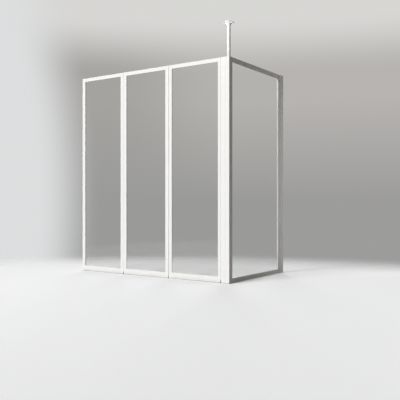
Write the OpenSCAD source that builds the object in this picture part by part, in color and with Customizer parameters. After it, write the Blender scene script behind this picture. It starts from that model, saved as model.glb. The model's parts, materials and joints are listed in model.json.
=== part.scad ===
// Folding bath screen: three framed glass leaves hinged in line to a corner post,
// a fixed glass side panel back to the wall, and a stay tube up to the ceiling.
// X runs along the front with the leaves towards -X, Y runs back to the wall, Z is up.
// The origin is the centre of the corner post's foot, on the bath rim.

/* [Overall] */
// Height of the screen above the bath rim
screen_h = 1400; // [1200:10:1600]
// Width of leaf A, next to the corner, between its hinge lines
leaf_a_w = 405; // [340:1:480]
// Width of leaf B, in the middle, between its hinge lines
leaf_b_w = 392; // [340:1:480]
// Width of leaf C, from its hinge line to the free end
leaf_c_w = 397; // [340:1:480]
// Distance from the front face to the wall
side_depth = 732; // [640:1:900]

/* [Leaf frames] */
// Depth of the leaf frames from the front face to the back
frame_d = 18; // [18:0.5:24]
// Width of the stiles on the hinge lines between leaves
stile_w = 26; // [23:0.5:34]
// Width of leaf C's stile at the free end
free_stile_w = 28; // [23:0.5:36]
// Width of leaf A's slim stile beside the corner
slim_stile_w = 19; // [18:0.5:30]
// Height of the top and bottom rails
rail_w = 25; // [22:0.5:34]
// Width of the rebate that holds the glass
rebate_w = 8; // [7:0.5:8.5]
// Depth of the rebated edge, which is shallower than the frame
rebate_d = 8; // [7.5:0.5:9]
// Wall of the aluminium profiles
wall = 1.4; // [1.2:0.1:1.8]
// Radius on the outer corners of the profiles
corner_r = 1.2; // [0.6:0.1:1.8]

/* [Glass] */
// Thickness of the safety glass
glass_t = 3; // [2.5:0.1:3.5]
// How far each glass edge reaches into its rebate
glass_bite = 6; // [4:0.5:6]
// Thickness of the gasket round the glass
gasket_t = 0.75; // [0.6:0.05:0.9]
// Lip of the frame in front of the gasket
front_lip = 1.5; // [1.2:0.1:1.8]
// Width of gasket that shows beside the frame
gasket_sight = 1; // [0.5:0.1:2]

/* [Hinges] */
// Knuckles along each hinge, shared by its two sides
knuckle_count = 7; // [5:2:11]
// Outside radius of the knuckles
knuckle_r = 3.5; // [3.3:0.1:3.7]
// Radius of the hinge pins
pin_r = 1.75; // [1.5:0.05:2]
// Radial running clearance of the pins
pin_clear = 0.05; // [0.03:0.01:0.08]
// Thickness of the nylon washers between the knuckles
washer_t = 1; // [0.6:0.1:2]
// How far the hinge axes stand off the face that they lie on
axis_proud = 0.5; // [0.4:0.1:1]
// Space between the edges of two leaves
leaf_gap = 1.5; // [1.4:0.1:2]
// Length at the top with no knuckles
hinge_top_free = 25; // [20:1:60]
// Length with no knuckles at the bottom, above the end caps
hinge_bottom_free = 3; // [3:1:40]

/* [Seals] */
// Height of the soft lip under each leaf, down to the rim
lip_h = 15; // [10:0.5:20]
// Thickness of the lip at its top
lip_t = 3; // [2.5:0.1:3.6]
// Half width of the slot that the leaves' feet leave at each hinge line
lip_stop = 4; // [3:0.5:8]
// Space between a gap seal and the edge that it closes on
seal_air = 0.3; // [0.2:0.1:0.6]

/* [Corner] */
// Width of the corner post, seen from the front
post_w = 27; // [27:0.5:32]
// Depth of the corner post, seen from the side
post_d = 38; // [38:0.5:50]
// Wall of the corner post
post_wall = 2; // [1.6:0.1:2]
// Depth of the groove in the post that holds the side glass
post_groove_d = 8; // [7.5:0.5:8]
// Width of the hinge profile between the post and the hinge line
hinge_profile_w = 36; // [34:0.5:50]
// How far the post's tongue reaches into the hinge profile
tongue_w = 14; // [10:0.5:15]
// Thickness of the post's foot and top cap
post_plate_t = 3; // [2:0.5:5]

/* [Side panel] */
// Depth of the side frame from its outer face inwards
side_frame_d = 14; // [14:0.5:18]
// Height of the side rails
side_rail_w = 28; // [26:0.5:36]
// Width of the wall-side stile in front of the wall profile
side_stile_show = 24; // [20:0.5:40]
// Width of the wall-side stile inside the wall profile
side_stile_hidden = 10; // [9:0.5:20]
// Depth of the wall profile in front of the wall
wall_profile_d = 47; // [40:0.5:60]
// Wall of the wall profile
wall_profile_t = 2; // [1.6:0.1:2.5]
// Space between the wall profile and the stile on each side
wall_profile_play = 0.5; // [0.2:0.1:0.8]
// Distance between the screw holes of the wall profile
wall_hole_pitch = 560; // [400:10:580]
// Radius of the screw holes of the wall profile
wall_hole_r = 2.75; // [2:0.25:3.5]

/* [Ceiling stay] */
// Outside radius of the stay tube
tube_r = 11; // [8:0.25:11]
// Wall of the stay tube
tube_wall = 1.5; // [1:0.1:2.5]
// Distance of the tube's axis behind the front face
tube_back = 17; // [15:0.5:17]
// Length of the tube inside the corner post
tube_in_post = 70; // [60:1:120]
// Height of the ceiling above the top of the screen
ceiling_above = 214; // [120:1:1200]
// Radius of the ceiling rosette
rosette_r = 32; // [30:0.5:40]
// Thickness of the rosette's disc at its middle
rosette_t = 7; // [6.5:0.5:12]
// Height of the cone below the rosette
rosette_cone_h = 12; // [6:0.5:20]
// Radius of the circle of screw holes in the rosette
rosette_hole_circle_r = 23; // [22:0.5:24]
// Radius of the screw holes in the rosette
rosette_hole_r = 2.25; // [1.75:0.25:2.5]

/* [Screws] */
// Radius of the frame screws' shanks
screw_r = 1.75; // [1.5:0.05:1.8]
// Radius of the frame screws' heads
screw_head_r = 2.8; // [2.4:0.1:2.8]
// Height of the frame screws' heads
screw_head_h = 2.2; // [1.6:0.1:2.4]
// How far each corner screw reaches into its rail
screw_in_rail = 16; // [10:0.5:24]

/* [Hidden] */
$fn = 48;
white = "white";
steel = "silver";
cut = 1;                    // overshoot of cutting solids past a face
seat = 0.2;                 // play of plugs and tongues in the profiles
screw_clear = 0.05;         // radial play of the screws
tube_clear = 0.1;           // radial play of the stay tube
washer_play = 0.05;         // end play on each side of a washer
relief = 0.5;               // space around the other side's knuckles
cap_t = 1.5;                // plate of the end caps
plug_h = 5;                 // reach of the caps' plugs into the profiles
plug_wall = 1;              // wall of the caps' plugs
screw_v = 11;               // depth of the corner screws behind the front face
port_ring = 1.3;            // wall of the rails' screw ports
tongue_air = 1;             // free space past the post's tongue in the channel
seal_w = 2;                 // width of the gap seals
seal_bead_t = 1;            // bead that holds a gap seal in its slot
seal_front_v = 3.5;         // depth of the seals that close the back hinges' gaps
seal_back_v = 15.4;         // depth of the seal that closes the front hinge's gap
lip_v = 3.5;                // depth of the sealing lips behind the front face
lip_tip_t = 1.4;            // thickness of a lip where it meets the rim
lip_lean = 0.6;             // how far a lip's tip leans forward
lip_neck_w = 1.2;
lip_head_w = 3.2;
lip_head_t = 1.2;
foot_air = 0.5;             // space between the leaves' feet and the rim
pan_r = 3.5;                // pan heads of the profile screws
pan_h = 2;
pan_len = 10;
end_screw_z = 120;          // profile screws' distance from the screen's ends
groove_web = 1.6;           // web behind the glass groove of the side frame
key_len = 30;               // reach of the side keys into their rails
key_in_post = 4;            // reach of the side keys past the post's back wall
key_margin = 2.5;           // key edges inside the rail's chamber
set_screw_r = 2.5;
set_screw_below = 12;       // set screw below the side top rail
hex_socket_r = 1.5;
hex_socket_h = 3;
rosette_edge_t = 3.5;       // thickness of the rosette at its rim
rosette_cone_r = 16;
rosette_wall = 2;
rosette_cover = 2.5;        // rosette left above the tube's end
countersink_r = 4.2;
countersink_h = 2.2;

front_y = -post_d / 2;
back_y = post_d / 2;
outer_x = post_w / 2;
post_x = -post_w / 2;
line_a = post_x - hinge_profile_w;
line_b = line_a - leaf_a_w;
line_c = line_b - leaf_b_w;
half_gap = leaf_gap / 2;
a_x0 = line_b + half_gap;
a_x1 = line_a - half_gap;
b_x0 = line_c + half_gap;
b_x1 = line_b - half_gap;
c_x0 = line_c - leaf_c_w;
c_x1 = line_c - half_gap;
a_open = [a_x0 + stile_w, a_x1 - slim_stile_w];
b_open = [b_x0 + stile_w, b_x1 - stile_w];
c_open = [c_x0 + free_stile_w, c_x1 - stile_w];
open_z = [lip_h + rail_w, screen_h - rail_w];

groove_w = glass_t + 2 * gasket_t;
glass_v = front_lip + gasket_t;
groove_v1 = front_lip + groove_w;
port_u = (rail_w - rebate_w) / 2;
screw_z = [lip_h + port_u, screen_h - port_u];

back_hinge = frame_d + axis_proud;
front_hinge = -axis_proud;
no_hinge = 0;
relief_r = knuckle_r + relief;
web_d = knuckle_r - axis_proud;
hinge_z0 = lip_h + cap_t + hinge_bottom_free;
hinge_z1 = screen_h - hinge_top_free;
washer_space = washer_t + 2 * washer_play;
knuckle_pitch = (hinge_z1 - hinge_z0 + washer_space) / knuckle_count;
knuckle_h = knuckle_pitch - washer_space;

profile_w = hinge_profile_w - half_gap;
channel_w = tongue_w + tongue_air;
channel_v = [wall, frame_d - wall];
end_screws = [end_screw_z, screen_h / 2, screen_h - end_screw_z];

wall_y = front_y + side_depth;
wall_profile_y0 = wall_y - wall_profile_d;
side_y0 = back_y;
side_y1 = wall_profile_y0 - side_stile_show;
side_len = side_y1 - side_y0;
side_stile_w = side_stile_show + side_stile_hidden;
side_edge_y = side_y1 + side_stile_w;
side_open_z = [side_rail_w, screen_h - side_rail_w];
side_port = [(side_rail_w - rebate_w) / 2, wall + screw_r + port_ring];
side_screw_z = [side_port[0], screen_h - side_port[0]];
key_v = [groove_v1 + groove_web + seat, side_frame_d - wall - seat];
key_u = [wall + key_margin, side_rail_w - rebate_w - wall - key_margin];
post_web_y = back_y - post_groove_d - wall;

tube_y = front_y + tube_back;
ceiling_z = screen_h + ceiling_above;
rosette_z = ceiling_z - rosette_t;
rosette_slope_h = rosette_t - rosette_edge_t;
tube_in_rosette = rosette_t - rosette_cover;
set_screw_z = screen_h - side_rail_w - set_screw_below;

// Places a child whose u axis runs along +X from a left edge
module at_left(x) {
    translate([x, front_y, 0]) children();
}

// Places a child whose u axis runs along -X from a right edge
module at_right(x) {
    translate([x, front_y, 0]) mirror([1, 0, 0]) children();
}

// Places a child in the side panel: u runs to the wall, v inwards from the outer face
module on_side(y) {
    translate([outer_x, y, 0]) rotate([0, 0, 90]) children();
}

// Turns a section drawn in (u, v) into a bar along u = height, v = depth
module bar(x0, x1) {
    translate([x1, 0, 0]) rotate([0, -90, 0]) linear_extrude(x1 - x0) children();
}

module flip_to_top() {
    translate([0, 0, screen_h]) mirror([0, 0, 1]) children();
}

module rounded_rect(w, d, r) {
    translate([r, 0]) square([w - 2 * r, d]);
    translate([0, r]) square([w, d - 2 * r]);
    for (x = [r, w - r], y = [r, d - r])
        translate([x, y]) circle(r = r);
}

// Leaf profile: u from the outer edge to the glass, v from the front face to the back.
// A closed tube carries a shallower rebate that grips the glass.
module leaf_outline(w) {
    rounded_rect(w - rebate_w, frame_d, corner_r);
    translate([corner_r, 0]) rounded_rect(w - corner_r, rebate_d, corner_r / 2);
}

module leaf_chamber(w, play) {
    inset = wall + play;
    translate([inset, inset]) square([w - rebate_w - 2 * inset, frame_d - 2 * inset]);
}

module glass_groove(w) {
    translate([w - rebate_w, front_lip]) square([rebate_w + cut, groove_w]);
}

module hinge_circle(hinge_v, r) {
    translate([-half_gap, hinge_v]) circle(r = r);
}

// The chamber keeps a wall around the space for the other side's knuckles
module stile_section(w, hinge_v) {
    difference() {
        leaf_outline(w);
        glass_groove(w);
        difference() {
            leaf_chamber(w, 0);
            if (hinge_v != no_hinge) hinge_circle(hinge_v, relief_r + wall);
        }
    }
}

// Knuckle with the web that joins it to its own profile
module knuckle_section(hinge_v) {
    hinge_circle(hinge_v, knuckle_r);
    translate([-half_gap, hinge_v < 0 ? 0 : frame_d - web_d])
        square([half_gap + relief_r, web_d]);
}

module knuckles(hinge_v, first) {
    for (i = [first : 2 : knuckle_count - 1])
        translate([0, 0, hinge_z0 + i * knuckle_pitch])
            linear_extrude(knuckle_h) knuckle_section(hinge_v);
}

// Cuts the hinge edge of a profile and adds its own knuckles, bored for the pin
module with_hinge(hinge_v, first) {
    difference() {
        union() {
            difference() {
                children();
                translate([-half_gap, hinge_v, hinge_z0 - relief])
                    cylinder(r = relief_r, h = hinge_z1 - hinge_z0 + 2 * relief);
            }
            knuckles(hinge_v, first);
        }
        translate([-half_gap, hinge_v, hinge_z0 - cut])
            cylinder(r = pin_r + pin_clear, h = hinge_z1 - hinge_z0 + 2 * cut);
    }
}

module seal_slot(seal_v) {
    translate([-cut, seal_v - seal_w / 4, hinge_z0]) cube([wall + cut, seal_w / 2, hinge_z1 - hinge_z0]);
}

module bare_stile(w, hinge_v) {
    translate([0, 0, lip_h + cap_t])
        linear_extrude(screen_h - lip_h - 2 * cap_t) stile_section(w, hinge_v);
}

// Access hole in the outer wall and shank hole in the inner wall, at both rails
module stile_screw_holes(w) {
    for (z = screw_z) {
        translate([-cut, screw_v, z]) rotate([0, 90, 0])
            cylinder(r = screw_head_r + seat, h = wall + cut + seat);
        translate([w - rebate_w - wall - seat, screw_v, z]) rotate([0, 90, 0])
            cylinder(r = screw_r + screw_clear, h = wall + 2 * seat);
    }
}

module hinged_stile(w, hinge_v, first) {
    difference() {
        with_hinge(hinge_v, first) bare_stile(w, hinge_v);
        stile_screw_holes(w);
    }
}

module corner_screws(w, head_v, reach, heights) {
    for (z = heights)
        translate([w - rebate_w - wall, head_v, z]) rotate([0, 90, 0]) {
            translate([0, 0, -screw_head_h]) cylinder(r = screw_head_r, h = screw_head_h);
            cylinder(r = screw_r, h = wall + reach);
        }
}

module stile_cap(w, hinge_v) {
    linear_extrude(cap_t) leaf_outline(w);
    translate([0, 0, cap_t]) linear_extrude(hinge_bottom_free - relief)
        difference() {
            leaf_chamber(w, seat);
            leaf_chamber(w, seat + plug_wall);
            if (hinge_v != no_hinge) hinge_circle(hinge_v, relief_r + wall + seat);
        }
}

// Caps at both ends. The lower one reaches down as a foot, clear of the slot at the hinge line.
module stile_caps(w, hinge_v) {
    slot = hinge_v == no_hinge ? 0 : lip_stop - half_gap;
    translate([0, 0, foot_air]) linear_extrude(lip_h - foot_air) difference() {
        leaf_outline(w);
        translate([-cut, -cut]) square([slot + cut, frame_d + 2 * cut]);
    }
    translate([0, 0, lip_h]) stile_cap(w, hinge_v);
    flip_to_top() stile_cap(w, hinge_v);
}

// Screw port on a web from the tube's outer wall
module screw_port() {
    translate([port_u, screw_v]) circle(r = screw_r + port_ring);
    translate([wall / 2, screw_v - wall / 2]) square([port_u - wall / 2, wall]);
}

module rail_section(lip_slot) {
    difference() {
        union() {
            difference() {
                leaf_outline(rail_w);
                glass_groove(rail_w);
                leaf_chamber(rail_w, 0);
            }
            screw_port();
        }
        translate([port_u, screw_v]) circle(r = screw_r + screw_clear);
        if (lip_slot)
            translate([-cut, lip_v - (lip_neck_w + seat) / 2]) square([wall + cut, lip_neck_w + seat]);
    }
}

// Rail between two stiles; its tube runs on behind the stiles' rebates
module rail(x0, x1, lip_slot) {
    bar(x0, x1) rail_section(lip_slot);
    bar(x0 - rebate_w, x1 + rebate_w) intersection() {
        rail_section(lip_slot);
        translate([0, rebate_d]) square([rail_w, frame_d]);
    }
}

module bottom_rail(open) {
    translate([0, front_y, lip_h]) rail(open[0], open[1], true);
}

module top_rail(open) {
    flip_to_top() translate([0, front_y, 0]) rail(open[0], open[1], false);
}

module pane(x, z) {
    translate([x[0] - glass_bite, glass_v, z[0] - glass_bite])
        cube([x[1] - x[0] + 2 * glass_bite, glass_t, z[1] - z[0] + 2 * glass_bite]);
}

// Channel gasket round the edge of a pane
module pane_gasket(x, z) {
    reach = glass_bite + gasket_t;
    difference() {
        translate([x[0] - reach, front_lip, z[0] - reach])
            cube([x[1] - x[0] + 2 * reach, groove_w, z[1] - z[0] + 2 * reach]);
        translate([x[0] + gasket_sight, front_lip - cut, z[0] + gasket_sight])
            cube([x[1] - x[0] - 2 * gasket_sight, groove_w + 2 * cut, z[1] - z[0] - 2 * gasket_sight]);
        pane(x, z);
    }
}

// Sealing lip: a tapered flap down to the rim, with a T head that slides into the rail
module bottom_lip(open) {
    v0 = lip_v - lip_t / 2;
    v1 = lip_v + lip_t / 2;
    translate([0, front_y, 0]) {
        bar(open[0] + seat, open[1] - seat)
            polygon([[lip_h, v0], [lip_h, v1], [lip_h - lip_t, v1],
                     [0, v0 - lip_lean + lip_tip_t], [0, v0 - lip_lean], [lip_h - lip_t, v0]]);
        translate([open[0], lip_v - lip_neck_w / 2, lip_h])
            cube([open[1] - open[0], lip_neck_w, wall]);
        translate([open[0], lip_v - lip_head_w / 2, lip_h + wall])
            cube([open[1] - open[0], lip_head_w, lip_head_t]);
    }
}

module hinge_pin(x, hinge_v) {
    translate([x, front_y + hinge_v, hinge_z0]) cylinder(r = pin_r, h = hinge_z1 - hinge_z0);
}

module hinge_washers(x, hinge_v) {
    for (i = [1 : knuckle_count - 1])
        translate([x, front_y + hinge_v, hinge_z0 + i * knuckle_pitch - washer_space + washer_play])
            difference() {
                cylinder(r = knuckle_r, h = washer_t);
                translate([0, 0, -cut]) cylinder(r = pin_r + pin_clear, h = washer_t + 2 * cut);
            }
}

// Soft strip in a profile's edge that closes the gap to the next edge, flush with the nearer face
module gap_seal(seal_v) {
    h = hinge_z1 - hinge_z0;
    reach = leaf_gap - seal_air;
    near_back = seal_v > frame_d / 2;
    v0 = near_back ? seal_v - seal_w / 2 : seal_air;
    v1 = near_back ? frame_d - seal_air : seal_v + seal_w / 2;
    translate([-reach, v0, hinge_z0]) cube([reach, v1 - v0, h]);
    translate([0, seal_v - seal_w / 4, hinge_z0]) cube([wall, seal_w / 2, h]);
    translate([wall, seal_v - seal_w / 2, hinge_z0]) cube([seal_bead_t, seal_w, h]);
}

// ---- Leaf A, next to the corner ----

module leaf_a_hinge_stile() {
    color(white) at_left(a_x0) difference() {
        hinged_stile(stile_w, front_hinge, 1);
        seal_slot(seal_back_v);
    }
}

module leaf_a_slim_stile() {
    color(white) at_right(a_x1) hinged_stile(slim_stile_w, back_hinge, 0);
}

module leaf_a_top_rail() { color(white) top_rail(a_open); }
module leaf_a_bottom_rail() { color(white) bottom_rail(a_open); }
module leaf_a_glass() { color("lightcyan") translate([0, front_y, 0]) pane(a_open, open_z); }
module leaf_a_gasket() { color("gainsboro") translate([0, front_y, 0]) pane_gasket(a_open, open_z); }
module leaf_a_bottom_lip() { color("ivory") bottom_lip(a_open); }

module leaf_a_end_caps() {
    color(white) at_left(a_x0) stile_caps(stile_w, front_hinge);
    color(white) at_right(a_x1) stile_caps(slim_stile_w, back_hinge);
}

module leaf_a_corner_screws() {
    color(steel) at_left(a_x0) corner_screws(stile_w, screw_v, screw_in_rail, screw_z);
    color(steel) at_right(a_x1) corner_screws(slim_stile_w, screw_v, screw_in_rail, screw_z);
}

// ---- Leaf B, in the middle ----

module leaf_b_left_stile() {
    color(white) at_left(b_x0) difference() {
        hinged_stile(stile_w, back_hinge, 1);
        seal_slot(seal_front_v);
    }
}

module leaf_b_right_stile() { color(white) at_right(b_x1) hinged_stile(stile_w, front_hinge, 0); }
module leaf_b_top_rail() { color(white) top_rail(b_open); }
module leaf_b_bottom_rail() { color(white) bottom_rail(b_open); }
module leaf_b_glass() { color("lightcyan") translate([0, front_y, 0]) pane(b_open, open_z); }
module leaf_b_gasket() { color("gainsboro") translate([0, front_y, 0]) pane_gasket(b_open, open_z); }
module leaf_b_bottom_lip() { color("ivory") bottom_lip(b_open); }

module leaf_b_end_caps() {
    color(white) at_left(b_x0) stile_caps(stile_w, back_hinge);
    color(white) at_right(b_x1) stile_caps(stile_w, front_hinge);
}

module leaf_b_corner_screws() {
    color(steel) at_left(b_x0) corner_screws(stile_w, screw_v, screw_in_rail, screw_z);
    color(steel) at_right(b_x1) corner_screws(stile_w, screw_v, screw_in_rail, screw_z);
}

// ---- Leaf C, at the free end ----

module leaf_c_free_stile() {
    color(white) at_left(c_x0) difference() {
        bare_stile(free_stile_w, no_hinge);
        stile_screw_holes(free_stile_w);
    }
}

module leaf_c_hinge_stile() { color(white) at_right(c_x1) hinged_stile(stile_w, back_hinge, 0); }
module leaf_c_top_rail() { color(white) top_rail(c_open); }
module leaf_c_bottom_rail() { color(white) bottom_rail(c_open); }
module leaf_c_glass() { color("lightcyan") translate([0, front_y, 0]) pane(c_open, open_z); }
module leaf_c_gasket() { color("gainsboro") translate([0, front_y, 0]) pane_gasket(c_open, open_z); }
module leaf_c_bottom_lip() { color("ivory") bottom_lip(c_open); }

module leaf_c_end_caps() {
    color(white) at_left(c_x0) stile_caps(free_stile_w, no_hinge);
    color(white) at_right(c_x1) stile_caps(stile_w, back_hinge);
}

module leaf_c_corner_screws() {
    color(steel) at_left(c_x0) corner_screws(free_stile_w, screw_v, screw_in_rail, screw_z);
    color(steel) at_right(c_x1) corner_screws(stile_w, screw_v, screw_in_rail, screw_z);
}

// Plugs that close the access holes in the free edge
module leaf_c_screw_plugs() {
    for (z = screw_z)
        color(white) translate([c_x0, front_y + screw_v, z]) rotate([0, 90, 0])
            cylinder(r = screw_head_r + seat / 2, h = wall + seat);
}

// ---- Hinges ----

module post_hinge_pin() { color(steel) hinge_pin(line_a, back_hinge); }
module ab_hinge_pin() { color(steel) hinge_pin(line_b, front_hinge); }
module bc_hinge_pin() { color(steel) hinge_pin(line_c, back_hinge); }
module post_hinge_washers() { color("ivory") hinge_washers(line_a, back_hinge); }
module ab_hinge_washers() { color("ivory") hinge_washers(line_b, front_hinge); }
module bc_hinge_washers() { color("ivory") hinge_washers(line_c, back_hinge); }
module post_gap_seal() { color("ivory") at_left(line_a + half_gap) gap_seal(seal_front_v); }
module ab_gap_seal() { color("ivory") at_left(a_x0) gap_seal(seal_back_v); }
module bc_gap_seal() { color("ivory") at_left(b_x0) gap_seal(seal_front_v); }

// ---- Corner ----

// Groove for the side glass, tube chamber, and a chamber beside the groove for the keys
module post_section() {
    groove_x1 = outer_x - front_lip;
    groove_x0 = groove_x1 - groove_w;
    difference() {
        translate([post_x, front_y]) rounded_rect(post_w, post_d, corner_r);
        translate([groove_x0, back_y - post_groove_d]) square([groove_w, post_groove_d + cut]);
        translate([post_x + post_wall, front_y + post_wall])
            square([post_w - 2 * post_wall, post_web_y - front_y - post_wall]);
        translate([post_x + post_wall, post_web_y + wall])
            square([groove_x0 - groove_web - post_x - post_wall, back_y - post_wall - post_web_y - wall]);
    }
}

// Hollow tongue that slides in the hinge profile's channel
module post_tongue() {
    depth = channel_v[1] - channel_v[0] - 2 * seat;
    difference() {
        translate([post_x - tongue_w, front_y + channel_v[0] + seat, lip_h + plug_h])
            cube([tongue_w + wall, depth, screen_h - lip_h - 2 * plug_h]);
        translate([post_x - tongue_w + wall, front_y + channel_v[0] + seat + wall, lip_h])
            cube([tongue_w - wall, depth - 2 * wall, screen_h]);
    }
}

// Holes for the screws that clamp the tongue in the hinge profile's channel
module profile_screw_holes(r, reach) {
    for (z = end_screws)
        translate([post_x - tongue_w / 2, front_y + frame_d + cut, z]) rotate([90, 0, 0])
            cylinder(r = r, h = reach + cut);
}

module key_block(play) {
    for (top = [0, 1])
        translate([0, 0, top ? screen_h : 0]) mirror([0, 0, top]) on_side(side_y0)
            translate([-post_wall - key_in_post, key_v[0] - play, key_u[0] - play])
                cube([post_wall + key_in_post + key_len, key_v[1] - key_v[0] + 2 * play,
                      key_u[1] - key_u[0] + 2 * play]);
}

module set_screw_axis() {
    translate([0, tube_y + tube_r, set_screw_z]) rotate([-90, 0, 0]) children();
}

module corner_post() {
    color(white) difference() {
        union() {
            translate([0, 0, post_plate_t]) linear_extrude(screen_h - 2 * post_plate_t) post_section();
            post_tongue();
        }
        profile_screw_holes(screw_r + screw_clear, wall + 2 * seat + wall);
        key_block(seat / 2);
        set_screw_axis() cylinder(r = set_screw_r + screw_clear, h = post_d);
    }
}

module post_foot() {
    color("gray") translate([post_x, front_y, 0]) {
        linear_extrude(post_plate_t) rounded_rect(post_w, post_d, corner_r);
        translate([post_wall + seat, post_wall + seat, post_plate_t])
            cube([post_w - 2 * (post_wall + seat), post_web_y - front_y - post_wall - 2 * seat, plug_h]);
    }
}

// Cap with the hole that guides the stay tube
module post_top_cap() {
    plug_y0 = post_web_y + wall + seat;
    color(white) difference() {
        union() {
            translate([post_x, front_y, screen_h - post_plate_t])
                linear_extrude(post_plate_t) rounded_rect(post_w, post_d, corner_r);
            translate([post_x + post_wall + seat, plug_y0, screen_h - post_plate_t - plug_h])
                cube([post_w / 2 - post_wall, back_y - post_wall - seat - plug_y0, plug_h]);
        }
        translate([0, tube_y, screen_h - post_plate_t - cut])
            cylinder(r = tube_r + tube_clear, h = post_plate_t + 2 * cut);
        key_block(seat / 2);
    }
}

// Adjusting profile: knuckles on one edge, an open channel for the post's tongue on the other
module hinge_profile() {
    chamber_u1 = profile_w - channel_w - wall;
    color(white) difference() {
        at_left(line_a + half_gap) difference() {
            with_hinge(back_hinge, 1) translate([0, 0, lip_h + cap_t])
                linear_extrude(screen_h - lip_h - 2 * cap_t) difference() {
                    rounded_rect(profile_w, frame_d, corner_r);
                    translate([profile_w - channel_w, channel_v[0]])
                        square([channel_w + cut, channel_v[1] - channel_v[0]]);
                    difference() {
                        translate([wall, wall]) square([chamber_u1 - wall, frame_d - 2 * wall]);
                        hinge_circle(back_hinge, relief_r + wall);
                    }
                }
            seal_slot(seal_front_v);
        }
        profile_screw_holes(screw_r + screw_clear, wall + seat);
    }
}

// Top cap and foot block of the hinge profile
module hinge_profile_caps() {
    foot_u = lip_stop - half_gap;
    color(white) at_left(line_a + half_gap) {
        translate([0, 0, screen_h - cap_t]) linear_extrude(cap_t) rounded_rect(profile_w, frame_d, corner_r);
        translate([0, 0, lip_h]) linear_extrude(cap_t) rounded_rect(profile_w, frame_d, corner_r);
        translate([foot_u, 0, 0]) linear_extrude(lip_h) rounded_rect(profile_w - foot_u, frame_d, corner_r);
    }
}

module pan_screw() {
    cylinder(r = pan_r, h = pan_h);
    translate([0, 0, -pan_len]) cylinder(r = screw_r, h = pan_len);
}

module hinge_profile_screws() {
    for (z = end_screws)
        color(steel) translate([post_x - tongue_w / 2, front_y + frame_d, z]) rotate([-90, 0, 0]) pan_screw();
}

// ---- Side panel ----

// Side profile: glass groove with a chamber behind it, beside a closed tube.
// The rails' screw port stands on the wall of the outer face.
module side_section(w, port) {
    tube_w = w - rebate_w;
    difference() {
        union() {
            difference() {
                rounded_rect(w, side_frame_d, corner_r);
                glass_groove(w);
                translate([wall, wall]) square([tube_w - 2 * wall, side_frame_d - 2 * wall]);
                translate([tube_w, groove_v1 + groove_web])
                    square([rebate_w - wall, side_frame_d - wall - groove_v1 - groove_web]);
            }
            if (port) {
                translate(side_port) circle(r = screw_r + port_ring);
                translate([side_port[0] - port_ring, wall / 2])
                    square([2 * port_ring, side_port[1] - wall / 2]);
            }
        }
        if (port) translate(side_port) circle(r = screw_r + screw_clear);
    }
}

module side_rail() {
    on_side(side_y0) bar(0, side_len) side_section(side_rail_w, true);
}

module side_top_rail() { color(white) flip_to_top() side_rail(); }
module side_bottom_rail() { color(white) side_rail(); }

module at_wall_stile() {
    on_side(side_edge_y) mirror([1, 0, 0]) children();
}

module wall_profile_screw_axis() {
    for (z = end_screws)
        translate([outer_x - side_frame_d, side_edge_y - side_stile_hidden / 2, z])
            rotate([0, -90, 0]) children();
}

module side_wall_stile() {
    color(white) difference() {
        at_wall_stile() difference() {
            translate([0, 0, cap_t]) linear_extrude(screen_h - 2 * cap_t) side_section(side_stile_w, false);
            for (z = side_screw_z) {
                translate([-cut, side_port[1], z]) rotate([0, 90, 0])
                    cylinder(r = screw_head_r + seat, h = wall + cut + seat);
                translate([side_stile_w - rebate_w - wall - seat, side_port[1], z]) rotate([0, 90, 0])
                    cylinder(r = screw_r + screw_clear, h = wall + rebate_w + 2 * seat);
            }
        }
        wall_profile_screw_axis() translate([0, 0, -wall - seat])
            cylinder(r = screw_r + screw_clear, h = 2 * wall);
    }
}

module side_glass() { color("lightcyan") on_side(side_y0) pane([0, side_len], side_open_z); }
module side_gasket() { color("gainsboro") on_side(side_y0) pane_gasket([0, side_len], side_open_z); }
module side_rail_keys() { color(steel) key_block(0); }

module side_corner_screws() {
    color(steel) at_wall_stile()
        corner_screws(side_stile_w, side_port[1], rebate_w + screw_in_rail, side_screw_z);
}

module side_stile_cap() {
    inset = wall + seat;
    linear_extrude(cap_t) rounded_rect(side_stile_w, side_frame_d, corner_r);
    plug = side_port[0] - screw_head_r - cap_t - seat;
    translate([inset, inset, cap_t])
        cube([side_stile_w - rebate_w - 2 * inset, side_frame_d - 2 * inset, plug]);
}

module side_stile_caps() {
    color(white) at_wall_stile() side_stile_cap();
    color(white) flip_to_top() at_wall_stile() side_stile_cap();
}

// ---- Wall profile ----

wall_profile_w = side_frame_d + 2 * (wall_profile_play + wall_profile_t);
wall_profile_x0 = outer_x + wall_profile_play + wall_profile_t - wall_profile_w;

module wall_profile() {
    inner_w = wall_profile_w - 2 * wall_profile_t;
    color(white) difference() {
        translate([wall_profile_x0, wall_profile_y0, 0]) linear_extrude(screen_h - cap_t) difference() {
            rounded_rect(wall_profile_w, wall_profile_d, wall_profile_t / 4);
            translate([wall_profile_t, -cut]) square([inner_w, wall_profile_d - wall_profile_t + cut]);
        }
        for (i = [-1 : 1])
            translate([wall_profile_x0 + wall_profile_w / 2, wall_y - wall_profile_t - cut,
                       screen_h / 2 + i * wall_hole_pitch])
                rotate([-90, 0, 0]) cylinder(r = wall_hole_r, h = wall_profile_t + 2 * cut);
        wall_profile_screw_axis()
            cylinder(r = screw_r + screw_clear, h = wall_profile_play + wall_profile_t + cut);
    }
}

// Cap notched for the stile that stands in the profile's mouth
module wall_profile_cap() {
    inset = wall_profile_t + seat;
    plug_y0 = side_stile_hidden + 2 * seat;
    color(white) translate([wall_profile_x0, wall_profile_y0, screen_h]) mirror([0, 0, 1]) {
        linear_extrude(cap_t) difference() {
            rounded_rect(wall_profile_w, wall_profile_d, wall_profile_t / 4);
            translate([wall_profile_t, -cut])
                square([wall_profile_w - 2 * wall_profile_t, cut + side_stile_hidden + seat]);
        }
        translate([inset, plug_y0, cap_t])
            cube([wall_profile_w - 2 * inset, wall_profile_d - plug_y0 - inset, plug_h]);
    }
}

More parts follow.
